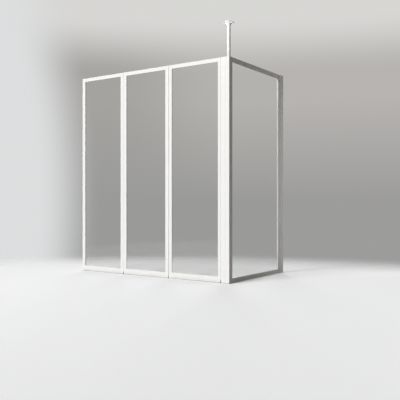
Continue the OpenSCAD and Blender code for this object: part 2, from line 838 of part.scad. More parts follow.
module wall_profile_screws() {
    color(steel) wall_profile_screw_axis()
        translate([0, 0, wall_profile_play + wall_profile_t]) pan_screw();
}

// ---- Ceiling stay ----

module stay_tube() {
    z0 = screen_h - tube_in_post;
    z1 = rosette_z + tube_in_rosette;
    color(white) translate([0, tube_y, z0]) difference() {
        cylinder(r = tube_r, h = z1 - z0);
        translate([0, 0, -cut]) cylinder(r = tube_r - tube_wall, h = z1 - z0 + 2 * cut);
    }
}

module stay_set_screw() {
    len = back_y - tube_y - tube_r - 2 * tube_clear;
    color(steel) set_screw_axis() translate([0, 0, tube_clear]) difference() {
        cylinder(r = set_screw_r, h = len);
        translate([0, 0, len - hex_socket_h]) cylinder(r = hex_socket_r, h = hex_socket_h + cut, $fn = 6);
    }
}

// Disc with a sloping underside and a cone that takes the tube
module ceiling_rosette() {
    seat_reach = rosette_hole_circle_r + countersink_r - rosette_cone_r;
    seat_z = seat + rosette_slope_h * seat_reach / (rosette_r - rosette_cone_r);
    color(white) translate([0, tube_y, rosette_z]) difference() {
        union() {
            rotate_extrude()
                polygon([[0, 0], [rosette_cone_r, 0], [rosette_r, rosette_slope_h], [rosette_r, rosette_t],
                         [0, rosette_t]]);
            translate([0, 0, -rosette_cone_h])
                cylinder(r1 = tube_r + rosette_wall, r2 = rosette_cone_r, h = rosette_cone_h);
        }
        translate([0, 0, -rosette_cone_h - cut])
            cylinder(r = tube_r + tube_clear, h = rosette_cone_h + cut + tube_in_rosette);
        for (i = [0 : 2])
            rotate([0, 0, 30 + i * 120]) translate([rosette_hole_circle_r, 0, 0]) {
                translate([0, 0, -cut]) cylinder(r = rosette_hole_r, h = rosette_t + 2 * cut);
                translate([0, 0, -cut]) cylinder(r = countersink_r, h = seat_z + cut);
                translate([0, 0, seat_z])
                    cylinder(r1 = countersink_r, r2 = rosette_hole_r, h = countersink_h);
            }
    }
}

leaf_a_hinge_stile();
leaf_a_slim_stile();
leaf_a_top_rail();
leaf_a_bottom_rail();
leaf_a_glass();
leaf_a_gasket();
leaf_a_bottom_lip();
leaf_a_end_caps();
leaf_a_corner_screws();
leaf_b_left_stile();
leaf_b_right_stile();
leaf_b_top_rail();
leaf_b_bottom_rail();
leaf_b_glass();
leaf_b_gasket();
leaf_b_bottom_lip();
leaf_b_end_caps();
leaf_b_corner_screws();
leaf_c_free_stile();
leaf_c_hinge_stile();
leaf_c_top_rail();
leaf_c_bottom_rail();
leaf_c_glass();
leaf_c_gasket();
leaf_c_bottom_lip();
leaf_c_end_caps();
leaf_c_corner_screws();
leaf_c_screw_plugs();
post_hinge_pin();
ab_hinge_pin();
bc_hinge_pin();
post_hinge_washers();
ab_hinge_washers();
bc_hinge_washers();
post_gap_seal();
ab_gap_seal();
bc_gap_seal();
corner_post();
post_foot();
post_top_cap();
hinge_profile();
hinge_profile_caps();
hinge_profile_screws();
side_top_rail();
side_bottom_rail();
side_wall_stile();
side_glass();
side_gasket();
side_rail_keys();
side_corner_screws();
side_stile_caps();
wall_profile();
wall_profile_cap();
wall_profile_screws();
stay_tube();
stay_set_screw();
ceiling_rosette();
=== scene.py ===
import json
import math

import bmesh
import bpy
from mathutils import Matrix, Vector


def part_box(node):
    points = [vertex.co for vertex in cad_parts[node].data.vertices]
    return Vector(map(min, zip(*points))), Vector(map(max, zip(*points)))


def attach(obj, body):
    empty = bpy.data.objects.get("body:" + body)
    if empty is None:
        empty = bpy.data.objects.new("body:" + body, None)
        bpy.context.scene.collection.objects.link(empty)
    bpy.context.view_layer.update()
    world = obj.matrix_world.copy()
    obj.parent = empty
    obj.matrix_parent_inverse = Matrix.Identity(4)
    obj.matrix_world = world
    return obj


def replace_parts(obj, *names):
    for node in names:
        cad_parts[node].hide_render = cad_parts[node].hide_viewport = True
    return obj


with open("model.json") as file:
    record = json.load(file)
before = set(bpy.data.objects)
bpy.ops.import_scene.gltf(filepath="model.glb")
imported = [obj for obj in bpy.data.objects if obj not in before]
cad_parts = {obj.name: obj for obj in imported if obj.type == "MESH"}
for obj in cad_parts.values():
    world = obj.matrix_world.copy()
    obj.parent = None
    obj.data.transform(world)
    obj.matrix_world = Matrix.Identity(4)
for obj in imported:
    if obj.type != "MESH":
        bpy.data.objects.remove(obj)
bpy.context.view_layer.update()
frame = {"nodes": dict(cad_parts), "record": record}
nodes = frame["nodes"]
bodyMembers = frame["record"]["behaviour"]["bodies"]
bodyOf = {node: body for body, members in bodyMembers.items() for node in members}
mm = 0.001


def addObject(name, data):
    item = bpy.data.objects.new(name, data)
    bpy.context.scene.collection.objects.link(item)
    return item


# Camera at the photograph's viewing angle, level, at about a third of the screen's height
viewpoint = {
    "place": (1.9515, -3.1765, 0.5157),
    "turnDegrees": 34.314,
    "lens": 54.25,
    "sensor": 36.0,
    "clipEnd": 60.0,
}


def makeCamera():
    look = viewpoint
    data = bpy.data.cameras.new("viewCamera")
    data.lens = look["lens"]
    data.sensor_width = look["sensor"]
    data.clip_end = look["clipEnd"]
    camera = addObject("viewCamera", data)
    camera.location = look["place"]
    camera.rotation_euler = (math.radians(90), 0, math.radians(look["turnDegrees"]))
    bpy.context.scene.camera = camera


makeCamera()
bpy.context.scene.view_settings.view_transform = "Standard"
print("camera ready")


# Short ways to write node trees
def addNode(tree, kind, values=None, settings=None):
    node = tree.nodes.new(kind)
    for key, value in (settings or {}).items():
        setattr(node, key, value)
    for key, value in (values or {}).items():
        node.inputs[key].default_value = value
    return node


def join(tree, source, target):
    tree.links.new(source, target)


def noiseNode(tree, vector, values):
    node = addNode(tree, "ShaderNodeTexNoise", values)
    join(tree, vector, node.inputs["Vector"])
    return node


# Works on two sockets, or on a socket and a number
def mathNode(tree, operation, first, second, clamp=False):
    node = addNode(tree, "ShaderNodeMath", settings={"operation": operation, "use_clamp": clamp})
    join(tree, first, node.inputs[0])
    if isinstance(second, float):
        node.inputs[1].default_value = second
    else:
        join(tree, second, node.inputs[1])
    return node.outputs[0]


def rangeNode(tree, value, fromRange, toRange=(0.0, 1.0), smooth=False):
    curve = "SMOOTHSTEP" if smooth else "LINEAR"
    node = addNode(tree, "ShaderNodeMapRange", settings={"interpolation_type": curve})
    join(tree, value, node.inputs["Value"])
    for name, number in zip(("From Min", "From Max", "To Min", "To Max"), (*fromRange, *toRange)):
        node.inputs[name].default_value = number
    return node.outputs[0]


# Each colour is a socket or three numbers
def mixColours(tree, mask, first, second):
    node = addNode(tree, "ShaderNodeMix", settings={"data_type": "RGBA"})
    join(tree, mask, node.inputs["Factor"])
    for index, colour in ((6, first), (7, second)):  # this node's two colour sockets
        if isinstance(colour, tuple):
            node.inputs[index].default_value = (*colour, 1.0)
        else:
            join(tree, colour, node.inputs[index])
    return node.outputs[2]  # and the colour that it gives


def newGroup(name, inputs, outputs):
    tree = bpy.data.node_groups.new(name, "ShaderNodeTree")
    for direction, sockets in (("INPUT", inputs), ("OUTPUT", outputs)):
        for socketName, kind in sockets.items():
            tree.interface.new_socket(socketName, in_out=direction, socket_type="NodeSocket" + kind)
    return tree, tree.nodes.new("NodeGroupInput"), tree.nodes.new("NodeGroupOutput")


# Powder coat's fine orange peel, with the softer swell under it
peelPattern = {
    "fine": {"Detail": 2.0, "Roughness": 0.55},
    "coarse": {"Detail": 1.0, "Roughness": 0.4},
    "coarseScale": 0.22,
    "fineShare": 0.4,
    "coarseShare": 0.6,
}


def makeOrangePeel():
    look = peelPattern
    tree, given, result = newGroup(
        "orangePeel", {"Vector": "Vector", "Scale": "Float"}, {"Height": "Float", "Swell": "Float"})
    fine = noiseNode(tree, given.outputs["Vector"], look["fine"])
    coarse = noiseNode(tree, given.outputs["Vector"], look["coarse"])
    join(tree, given.outputs["Scale"], fine.inputs["Scale"])
    coarseScale = mathNode(tree, "MULTIPLY", given.outputs["Scale"], look["coarseScale"])
    join(tree, coarseScale, coarse.inputs["Scale"])
    peel = mathNode(tree, "MULTIPLY", fine.outputs["Fac"], look["fineShare"])
    swell = mathNode(tree, "MULTIPLY", coarse.outputs["Fac"], look["coarseShare"])
    join(tree, mathNode(tree, "ADD", peel, swell), result.inputs["Height"])
    join(tree, coarse.outputs["Fac"], result.inputs["Swell"])
    return tree


# Faint lines that an extrusion die draws along a profile
linePattern = {"Detail": 3.0, "Roughness": 0.6}


def makeDieLines():
    tree, given, result = newGroup(
        "dieLines", {"Vector": "Vector", "Stretch": "Vector", "Scale": "Float"}, {"Height": "Float"})
    stretched = addNode(tree, "ShaderNodeVectorMath", settings={"operation": "MULTIPLY"})
    join(tree, given.outputs["Vector"], stretched.inputs[0])
    join(tree, given.outputs["Stretch"], stretched.inputs[1])
    lines = noiseNode(tree, stretched.outputs[0], linePattern)
    join(tree, given.outputs["Scale"], lines.inputs["Scale"])
    join(tree, lines.outputs["Fac"], result.inputs["Height"])
    return tree


# Soft blotches from cleaning and handling
wipePattern = {
    "noise": {"Detail": 4.0, "Roughness": 0.62, "Distortion": 0.6},
    "noiseRange": (0.38, 0.66),
}


def makeWipeMarks():
    look = wipePattern
    tree, given, result = newGroup("wipeMarks", {"Vector": "Vector", "Scale": "Float"}, {"Mask": "Float"})
    clouds = noiseNode(tree, given.outputs["Vector"], look["noise"])
    join(tree, given.outputs["Scale"], clouds.inputs["Scale"])
    mask = rangeNode(tree, clouds.outputs["Fac"], look["noiseRange"], smooth=True)
    join(tree, mask, result.inputs["Mask"])
    return tree


# Rounds the sharp edges in the shading and marks where they are
wearPattern = {
    "samples": 4,
    "turnRange": (0.995, 0.8),
    "noise": {"Scale": 60.0, "Detail": 3.0},
    "noiseRange": (0.35, 0.65),
    "patchRange": (0.3, 1.0),
}


def makeEdgeWear():
    look = wearPattern
    tree, given, result = newGroup(
        "edgeWear", {"Radius": "Float", "Vector": "Vector"}, {"Normal": "Vector", "Mask": "Float"})
    rounded = addNode(tree, "ShaderNodeBevel", settings={"samples": look["samples"]})
    join(tree, given.outputs["Radius"], rounded.inputs["Radius"])
    facing = addNode(tree, "ShaderNodeVectorMath", settings={"operation": "DOT_PRODUCT"})
    join(tree, rounded.outputs["Normal"], facing.inputs[0])
    join(tree, addNode(tree, "ShaderNodeNewGeometry").outputs["Normal"], facing.inputs[1])
    turned = rangeNode(tree, facing.outputs["Value"], look["turnRange"], smooth=True)
    patches = noiseNode(tree, given.outputs["Vector"], look["noise"])
    broken = rangeNode(tree, patches.outputs["Fac"], look["noiseRange"], look["patchRange"], smooth=True)
    join(tree, mathNode(tree, "MULTIPLY", turned, broken), result.inputs["Mask"])
    join(tree, rounded.outputs["Normal"], result.inputs["Normal"])
    return tree


# Dust on faces that look up
dustPattern = {
    "upRange": (0.6, 1.0),
    "noise": {"Scale": 240.0, "Detail": 4.0, "Roughness": 0.7},
    "noiseRange": (0.3, 0.75),
    "grainRange": (0.2, 1.0),
}


def makeRestingDust():
    look = dustPattern
    tree, given, result = newGroup(
        "restingDust", {"Vector": "Vector", "Amount": "Float"}, {"Mask": "Float"})
    normal = addNode(tree, "ShaderNodeSeparateXYZ")
    join(tree, addNode(tree, "ShaderNodeNewGeometry").outputs["Normal"], normal.inputs[0])
    upward = rangeNode(tree, normal.outputs["Z"], look["upRange"], smooth=True)
    speckle = noiseNode(tree, given.outputs["Vector"], look["noise"])
    grains = rangeNode(tree, speckle.outputs["Fac"], look["noiseRange"], look["grainRange"], smooth=True)
    dusted = mathNode(tree, "MULTIPLY", upward, grains)
    join(tree, mathNode(tree, "MULTIPLY", dusted, given.outputs["Amount"]), result.inputs["Mask"])
    return tree


# Painted shade: darker grey along the foot of the sealing lips and end caps, standing in for the contact
# shadow where they meet the floor
footShadePattern = {
    "noise": {"Scale": 22.0, "Detail": 2.0, "Roughness": 0.5},
    "noiseRange": (0.3, 0.7),
    "reachRange": (0.88, 1.12),
    "levelRange": (1.0, 0.1),
}


def makePaintedFootShade():
    look = footShadePattern
    tree, given, result = newGroup("paintedFootShade", {"Vector": "Vector", "Height": "Float"}, {"Mask": "Float"})
    place = addNode(tree, "ShaderNodeSeparateXYZ")
    join(tree, given.outputs["Vector"], place.inputs[0])
    ragged = noiseNode(tree, given.outputs["Vector"], look["noise"])
    share = rangeNode(tree, ragged.outputs["Fac"], look["noiseRange"], look["reachRange"])
    reach = mathNode(tree, "MULTIPLY", given.outputs["Height"], share)
    level = mathNode(tree, "DIVIDE", place.outputs["Z"], reach)
    join(tree, rangeNode(tree, level, look["levelRange"], smooth=True), result.inputs["Mask"])
    return tree


orangePeel = makeOrangePeel()
dieLines = makeDieLines()
wipeMarks = makeWipeMarks()
edgeWear = makeEdgeWear()
restingDust = makeRestingDust()
paintedFootShade = makePaintedFootShade()
print("node groups ready:", len(bpy.data.node_groups))


def useGroup(tree, group, place, values):
    node = addNode(tree, "ShaderNodeGroup", settings={"node_tree": group})
    join(tree, place, node.inputs["Vector"])
    for key, value in values.items():
        node.inputs[key].default_value = value
    return node


def newMaterial(name, base, sockets=None):
    material = bpy.data.materials.new(name)
    material.use_nodes = True
    tree = material.node_tree
    shader = tree.nodes["Principled BSDF"]
    shader.inputs["Base Color"].default_value = (*base, 1.0)
    for key, value in (sockets or {}).items():
        shader.inputs[key].default_value = value
    place = addNode(tree, "ShaderNodeTexCoord").outputs["Object"]
    return material, tree, shader, place


def bumpInto(tree, shader, height, distance, normal=None):
    bump = addNode(tree, "ShaderNodeBump", {"Strength": 1.0, "Distance": distance})
    join(tree, height, bump.inputs["Height"])
    if normal is not None:
        join(tree, normal, bump.inputs["Normal"])
    join(tree, bump.outputs["Normal"], shader.inputs["Normal"])


# Stretch of the die lines in X, Y and Z, by how a piece lies or is made
lineStretch = {
    "upright": (1.0, 1.0, 0.004),
    "sideways": (0.004, 1.0, 1.0),
    "backwards": (1.0, 0.004, 1.0),
    "turned": (1.0, 1.0, 0.05),
    "moulded": (1.0, 1.0, 1.0),
}

# Satin white powder coat on extruded profiles; depths and radius in metres
powderCoat = {
    "white": (0.885, 0.885, 0.875),
    "wiped": (0.862, 0.864, 0.858),
    "worn": (0.915, 0.915, 0.91),
    "dust": (0.72, 0.71, 0.69),
    "wipeScale": 5.0,
    "dustAmount": 0.25,
    "peelScale": 850.0,
    "peelDepth": 0.00003,
    "lineScale": 420.0,
    "lineDepth": 0.00002,
    "edgeRadius": 0.0005,
    "swellRange": (0.3, 0.7),
    "roughness": (0.33, 0.43),
    "wipedRoughness": 0.05,
    "dustRoughness": 0.6,
}


def makePowderCoat(name, stretch):
    look = powderCoat
    material, tree, shader, place = newMaterial(name, look["white"])
    peel = useGroup(tree, orangePeel, place, {"Scale": look["peelScale"]})
    lines = useGroup(tree, dieLines, place, {"Stretch": lineStretch[stretch], "Scale": look["lineScale"]})
    wiped = useGroup(tree, wipeMarks, place, {"Scale": look["wipeScale"]})
    edges = useGroup(tree, edgeWear, place, {"Radius": look["edgeRadius"]})
    dust = useGroup(tree, restingDust, place, {"Amount": look["dustAmount"]})
    colour = mixColours(tree, wiped.outputs["Mask"], look["white"], look["wiped"])
    colour = mixColours(tree, edges.outputs["Mask"], colour, look["worn"])
    colour = mixColours(tree, dust.outputs["Mask"], colour, look["dust"])
    join(tree, colour, shader.inputs["Base Color"])
    sheen = rangeNode(tree, peel.outputs["Swell"], look["swellRange"], look["roughness"])
    rougher = mathNode(tree, "MULTIPLY", wiped.outputs["Mask"], look["wipedRoughness"])
    dusty = mathNode(tree, "MULTIPLY", dust.outputs["Mask"], look["dustRoughness"])
    roughness = mathNode(tree, "ADD", mathNode(tree, "ADD", sheen, rougher), dusty, clamp=True)
    join(tree, roughness, shader.inputs["Roughness"])
    drawn = mathNode(tree, "MULTIPLY", lines.outputs["Height"], look["lineDepth"] / look["peelDepth"])
    height = mathNode(tree, "ADD", peel.outputs["Height"], drawn)
    bumpInto(tree, shader, height, look["peelDepth"], edges.outputs["Normal"])
    return material


# Clear toughened glass: lamps shine through it, and its face has the furnace rollers' faint wave
clearGlass = {
    "tint": (0.966, 0.974, 0.966),
    "ior": 1.5,
    "lampTint": (0.93, 0.936, 0.924),
    "waveStretch": (0.25, 0.25, 1.0),
    "waveScale": 5.0,
    "waveDepth": 0.00004,
    "smearScale": 3.0,
    "smearRoughness": 0.012,
}


def makeClearGlass():
    look = clearGlass
    material, tree, shader, place = newMaterial(
        "clearGlass", look["tint"], {"Transmission Weight": 1.0, "IOR": look["ior"], "Metallic": 0.0})
    wave = useGroup(tree, dieLines, place, {"Stretch": look["waveStretch"], "Scale": look["waveScale"]})
    smear = useGroup(tree, wipeMarks, place, {"Scale": look["smearScale"]})
    join(tree, mathNode(tree, "MULTIPLY", smear.outputs["Mask"], look["smearRoughness"]),
         shader.inputs["Roughness"])
    bumpInto(tree, shader, wave.outputs["Height"], look["waveDepth"])
    through = addNode(tree, "ShaderNodeBsdfTransparent", {"Color": (*look["lampTint"], 1.0)})
    path = addNode(tree, "ShaderNodeLightPath")
    surface = shader.outputs[0]
    for ray in ("Is Diffuse Ray", "Is Shadow Ray"):
        choice = addNode(tree, "ShaderNodeMixShader")
        join(tree, path.outputs[ray], choice.inputs[0])
        join(tree, surface, choice.inputs[1])
        join(tree, through.outputs[0], choice.inputs[2])
        surface = choice.outputs[0]
    join(tree, surface, tree.nodes["Material Output"].inputs["Surface"])
    return material


# Plastics: glazing gasket, sealing lips and gap strips, washers, mouldings and the foot pad; the lips and
# mouldings carry painted shade along their foot, and the foot pad's dark grey is painted shade under the
# post
plastics = {
    "gasket": {
        "base": (0.70, 0.71, 0.71),
        "shade": (0.62, 0.63, 0.63),
        "roughness": (0.45, 0.6),
        "lightThrough": 0.0,
    },
    "softSeal": {
        "base": (0.82, 0.82, 0.815),
        "shade": (0.77, 0.77, 0.77),
        "roughness": (0.35, 0.5),
        "lightThrough": 0.15,
        "paintedFootShade": 0.0075,
    },
    "nylon": {
        "base": (0.82, 0.81, 0.77),
        "shade": (0.75, 0.74, 0.70),
        "roughness": (0.4, 0.55),
        "lightThrough": 0.1,
    },
    "moulding": {
        "base": (0.885, 0.885, 0.872),
        "shade": (0.85, 0.85, 0.84),
        "roughness": (0.28, 0.4),
        "lightThrough": 0.0,
        "paintedFootShade": 0.0075,
    },
    # Foot pad under the post: a real part, whose dark grey is painted shade standing in for the shadow line
    # under the post
    "paintedShadePad": {
        "base": (0.27, 0.27, 0.27),
        "shade": (0.23, 0.23, 0.23),
        "roughness": (0.5, 0.65),
        "lightThrough": 0.0,
    },
}

# What all the plastics share; depths in metres
plasticSkin = {
    "dust": (0.66, 0.65, 0.62),
    # tone of the painted shade along the foot
    "paintedShadeTone": (0.36, 0.36, 0.355),
    "dustAmount": 0.2,
    "markScale": 11.0,
    "grainScale": 1600.0,
    "lineScale": 500.0,
    "grainDepth": 0.00002,
    "lightDepth": 0.002,
    "swellRange": (0.3, 0.7),
}


def makePlastic(name, stretch, ending=""):
    look, skin = plastics[name], plasticSkin
    material, tree, shader, place = newMaterial(
        name + ending, look["base"],
        {"Subsurface Weight": look["lightThrough"], "Subsurface Scale": skin["lightDepth"]})
    grain = useGroup(tree, orangePeel, place, {"Scale": skin["grainScale"]})
    lines = useGroup(tree, dieLines, place, {"Stretch": lineStretch[stretch], "Scale": skin["lineScale"]})
    marks = useGroup(tree, wipeMarks, place, {"Scale": skin["markScale"]})
    dust = useGroup(tree, restingDust, place, {"Amount": skin["dustAmount"]})
    colour = mixColours(tree, marks.outputs["Mask"], look["base"], look["shade"])
    colour = mixColours(tree, dust.outputs["Mask"], colour, skin["dust"])
    # Painted contact shade, darker towards the foot
    if "paintedFootShade" in look:
        foot = useGroup(tree, paintedFootShade, place, {"Height": look["paintedFootShade"]})
        colour = mixColours(tree, foot.outputs["Mask"], colour, skin["paintedShadeTone"])
    join(tree, colour, shader.inputs["Base Color"])
    roughness = rangeNode(tree, grain.outputs["Swell"], skin["swellRange"], look["roughness"])
    join(tree, roughness, shader.inputs["Roughness"])
    height = mathNode(tree, "ADD", grain.outputs["Height"], lines.outputs["Height"])
    bumpInto(tree, shader, height, skin["grainDepth"])
    return material


# Stainless pins and screws, and the bare aluminium of the keys
bareMetals = {
    "steel": {"base": (0.60, 0.60, 0.59), "dull": (0.42, 0.42, 0.41), "roughness": (0.2, 0.36)},
    "millAluminium": {"base": (0.76, 0.77, 0.78), "dull": (0.62, 0.63, 0.64), "roughness": (0.3, 0.48)},
}

# What both metals share; depth and radius in metres
metalSkin = {
    "markScale": 70.0,
    "lineScale": 900.0,
    "lineRange": (0.3, 0.7),
    "lineDepth": 0.000015,
    "edgeRadius": 0.0003,
}


def makeBareMetal(name, stretch):
    look, skin = bareMetals[name], metalSkin
    material, tree, shader, place = newMaterial(name, look["base"], {"Metallic": 1.0})
    lines = useGroup(tree, dieLines, place, {"Stretch": lineStretch[stretch], "Scale": skin["lineScale"]})
    marks = useGroup(tree, wipeMarks, place, {"Scale": skin["markScale"]})
    edges = useGroup(tree, edgeWear, place, {"Radius": skin["edgeRadius"]})
    colour = mixColours(tree, marks.outputs["Mask"], look["base"], look["dull"])
    join(tree, colour, shader.inputs["Base Color"])
    roughness = rangeNode(tree, lines.outputs["Height"], skin["lineRange"], look["roughness"])
    join(tree, roughness, shader.inputs["Roughness"])
    bumpInto(tree, shader, lines.outputs["Height"], skin["lineDepth"], edges.outputs["Normal"])
    return material


coatUpright = makePowderCoat("powderCoatUpright", "upright")
coatAcross = makePowderCoat("powderCoatAcross", "sideways")
coatDeep = makePowderCoat("powderCoatDeep", "backwards")
glass = makeClearGlass()
gasket = makePlastic("gasket", "upright")
softSealAcross = makePlastic("softSeal", "sideways", "Across")
softSealUpright = makePlastic("softSeal", "upright", "Upright")
nylon = makePlastic("nylon", "moulded")
moulding = makePlastic("moulding", "moulded")
paintedShadePad = makePlastic("paintedShadePad", "moulded")
steel = makeBareMetal("steel", "turned")
millAluminium = makeBareMetal("millAluminium", "backwards")

# Which finish a CAD node wears, by how its name ends; what is left wears coatUpright
finishByEnding = {
    "_glass": glass,
    "_gasket": gasket,
    "_bottom_lip": softSealAcross,
    "_gap_seal": softSealUpright,
    "_washers": nylon,
    "_foot": paintedShadePad,
    "_caps": moulding,
    "_cap": moulding,
    "_plugs": moulding,
    "_screws": steel,
    "_screw": steel,
    "_pin": steel,
    "_keys": millAluminium,
    "_rail": coatAcross,
}


def finishFor(name):
    if name.startswith("side_") and name.endswith("_rail"):
        return coatDeep
    for ending, finish in finishByEnding.items():
        if name.endswith(ending):
            return finish
    return coatUpright


for name, cadNode in nodes.items():
    cadNode.data.materials.clear()
    cadNode.data.materials.append(finishFor(name))
print("finishes ready:", len(bpy.data.materials))


def toMesh(name, shape):
    mesh = bpy.data.meshes.new(name)
    shape.to_mesh(mesh)
    shape.free()
    return mesh


# Skin over a row of equal outlines, round in a ring or with its two ends closed
def skinOutlines(name, outlines, ring):
    shape = bmesh.new()
    loops = [[shape.verts.new(point) for point in outline] for outline in outlines]
    for first, second in zip(loops, loops[1:] + loops[:1] if ring else loops[1:]):
        for index in range(len(first)):
            after = (index + 1) % len(first)
            shape.faces.new((first[index], first[after], second[after], second[index]))
    if not ring:
        shape.faces.new(loops[0])
        shape.faces.new(loops[-1])
    bmesh.ops.recalc_face_normals(shape, faces=shape.faces)
    return toMesh(name, shape)


# Turned solid: an outline of radius and height in mm, spun round Z
spinWeld = 0.002


def spinOutline(name, outline, sides):
    shape = bmesh.new()
    points = [shape.verts.new((radius * mm, 0, height * mm)) for radius, height in outline]
    for first, second in zip(points, points[1:]):
        shape.edges.new((first, second))
    bmesh.ops.spin(shape, geom=shape.verts[:] + shape.edges[:], cent=(0, 0, 0), axis=(0, 0, 1),
                   angle=math.tau, steps=sides)
    bmesh.ops.remove_doubles(shape, verts=shape.verts, dist=spinWeld * mm)
    bmesh.ops.recalc_face_normals(shape, faces=shape.faces)
    return toMesh(name, shape)


# Copies of one mesh, each at its own place, joined in a new one
def joinCopies(name, mesh, places):
    shape = bmesh.new()
    for place in places:
        moved = mesh.copy()
        moved.transform(place)
        shape.from_mesh(moved)
        bpy.data.meshes.remove(moved)
    return toMesh(name, shape)


# A made piece rides on a CAD node's body
creaseDegrees = 40.0


def rideWith(nodeName, mesh, material):
    mesh.shade_smooth()
    mesh.set_sharp_from_angle(angle=math.radians(creaseDegrees))
    mesh.materials.append(material)
    piece = addObject(mesh.name, mesh)
    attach(piece, bodyOf[nodeName])
    return piece


# A made piece stands for a CAD node
def standFor(nodeName, mesh, material):
    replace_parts(rideWith(nodeName, mesh, material), nodeName)


# Channel gasket: its two lips roll round and lean on the glass, with mitred corners
# Outline in mm: how far into the profile from the edge of the daylight, then through the thickness
glazingBead = {
    "nodes": ("leaf_a_gasket", "leaf_b_gasket", "leaf_c_gasket", "side_gasket"),
    "outline": (
        (-0.98, 0.72), (-0.97, 0.52), (-0.87, 0.27), (-0.66, 0.09), (-0.35, 0.02), (6.55, 0.02),
        (6.73, 0.2), (6.73, 4.3), (6.55, 4.48), (-0.35, 4.48), (-0.66, 4.41), (-0.87, 4.23),
        (-0.97, 3.98), (-0.98, 3.78), (6.02, 3.78), (6.02, 0.72),
    ),
    "play": 0.02,
}


def makeGlazingBead(nodeName):
    look = glazingBead
    low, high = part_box(nodeName)
    along, through = (1, 0) if high[1] - low[1] > high[0] - low[0] else (0, 1)
    reach = max(into for into, depth in look["outline"]) + look["play"]
    corners = []
    for farAlong, farUp in ((0, 0), (1, 0), (1, 1), (0, 1)):
        outline = []
        for into, depth in look["outline"]:
            inset = (reach - into) * mm
            point = [0.0, 0.0, 0.0]
            point[along] = high[along] - inset if farAlong else low[along] + inset
            point[2] = high[2] - inset if farUp else low[2] + inset
            point[through] = low[through] + depth * mm
            outline.append(point)
        corners.append(outline)
    mesh = skinOutlines(nodeName.replace("_gasket", "_glazing_bead"), corners, True)
    standFor(nodeName, mesh, gasket)


for nodeName in glazingBead["nodes"]:
    makeGlazingBead(nodeName)
print("glazing beads ready")


# Sealing lip: a thin curved blade with a drip groove, its head in the rail's slot
# Outline in mm: height above the blade's tip, then depth behind the front face of the box
# Its ends draw in towards "endMiddle", and each ripple has a pace in radians per metre, a start and a share
sealingLip = {
    "nodes": ("leaf_a_bottom_lip", "leaf_b_bottom_lip", "leaf_c_bottom_lip"),
    "outline": (
        (15.0, 0.66), (14.7, 0.6), (12.6, 0.6), (12.3, 0.66), (12.1, 0.88), (11.7, 0.88),
        (11.5, 0.68), (9.0, 0.56), (6.0, 0.42), (3.0, 0.3), (1.2, 0.24), (0.5, 0.24),
        (0.15, 0.36), (0.0, 0.62), (0.12, 0.92), (0.5, 1.12), (1.2, 1.24), (3.0, 1.46),
        (6.0, 1.9), (9.0, 2.5), (11.0, 3.06), (12.2, 3.44), (13.0, 3.58), (14.7, 3.6),
        (15.0, 3.54), (15.0, 2.68), (16.38, 2.68), (16.45, 3.6), (17.5, 3.68), (17.58, 3.6),
        (17.58, 0.6), (17.5, 0.52), (16.45, 0.6), (16.38, 1.52), (15.0, 1.52),
    ),
    "endPlay": 0.2,
    "endRound": 0.3,
    "endMiddle": (8.0, 2.0),
    "endDraw": (0.015, 0.05),
    "step": 32.0,
    "wave": 0.09,
    "ripples": ((31.0, 0.0, 0.6), (73.0, 1.0, 0.4)),
    "bladeHeight": 12.0,
}


def makeSealingLip(nodeName):
    look = sealingLip
    low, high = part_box(nodeName)
    start, end = low[0] + look["endPlay"] * mm, high[0] - look["endPlay"] * mm
    count = round((end - start) / (look["step"] * mm))
    places = [(start, 1.0), (start + look["endRound"] * mm, 0.0)]
    places += [(start + (end - start) * index / count, 0.0) for index in range(1, count)]
    places += [(end - look["endRound"] * mm, 0.0), (end, 1.0)]
    (middleHeight, middleDepth), (heightDraw, depthDraw) = look["endMiddle"], look["endDraw"]
    outlines = []
    for x, drawn in places:
        sway = sum(math.sin(x * pace + begin) * share for pace, begin, share in look["ripples"])
        outline = []
        for height, depth in look["outline"]:
            limp = max(0.0, 1.0 - height / look["bladeHeight"]) ** 2
            depth += sway * look["wave"] * limp
            depth += (middleDepth - depth) * depthDraw * drawn
            height += (middleHeight - height) * heightDraw * drawn
            outline.append((x, low[1] + depth * mm, low[2] + height * mm))
        outlines.append(outline)
    mesh = skinOutlines(nodeName.replace("_bottom_lip", "_sealing_lip"), outlines, False)
    standFor(nodeName, mesh, softSealAcross)


for nodeName in sealingLip["nodes"]:
    makeSealingLip(nodeName)
print("sealing lips ready")


# Gap seal: a rolled strip between two edges, with its bead in the profile's slot
# The strip's face is flush in the gap; "front" says whether that is the front face
# Outline in mm: across from the gap's edge, then inwards; the bead and the back count from the far side
gapSeal = {
    "front": {"post_gap_seal": True, "ab_gap_seal": False, "bc_gap_seal": True},
    "gap": 1.2,
    "roll": ((-1.2, 0.6), (-1.17, 0.36), (-1.05, 0.14), (-0.82, 0.02), (-0.5, 0.0), (-0.2, 0.04),
             (-0.05, 0.16), (0.0, 0.35)),
    "bead": ((0.0, -1.5), (1.4, -1.5), (1.4, -1.9), (1.5, -2.0), (2.3, -2.0), (2.4, -1.9),
             (2.4, -0.1), (2.3, 0.0), (1.5, 0.0), (1.4, -0.1), (1.4, -0.5), (0.0, -0.5)),
    "back": ((0.0, -0.15), (-0.15, 0.0), (-0.6, 0.0), (-1.0, -0.2), (-1.2, -0.6)),
    "endPlay": 0.1,
}


def makeGapSeal(nodeName):
    look = gapSeal
    low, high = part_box(nodeName)
    deep = (high[1] - low[1]) / mm
    profile = list(look["roll"])
    profile += [(across, deep + inwards) for across, inwards in look["bead"] + look["back"]]
    outlines = []
    for z in (low[2] + look["endPlay"] * mm, high[2] - look["endPlay"] * mm):
        outline = []
        for across, inwards in profile:
            y = low[1] + inwards * mm if look["front"][nodeName] else high[1] - inwards * mm
            outline.append((low[0] + (across + look["gap"]) * mm, y, z))
        outlines.append(outline)
    mesh = skinOutlines(nodeName.replace("_gap_seal", "_rolled_seal"), outlines, False)
    standFor(nodeName, mesh, softSealUpright)


for nodeName in gapSeal["front"]:
    makeGapSeal(nodeName)
print("gap seals ready")


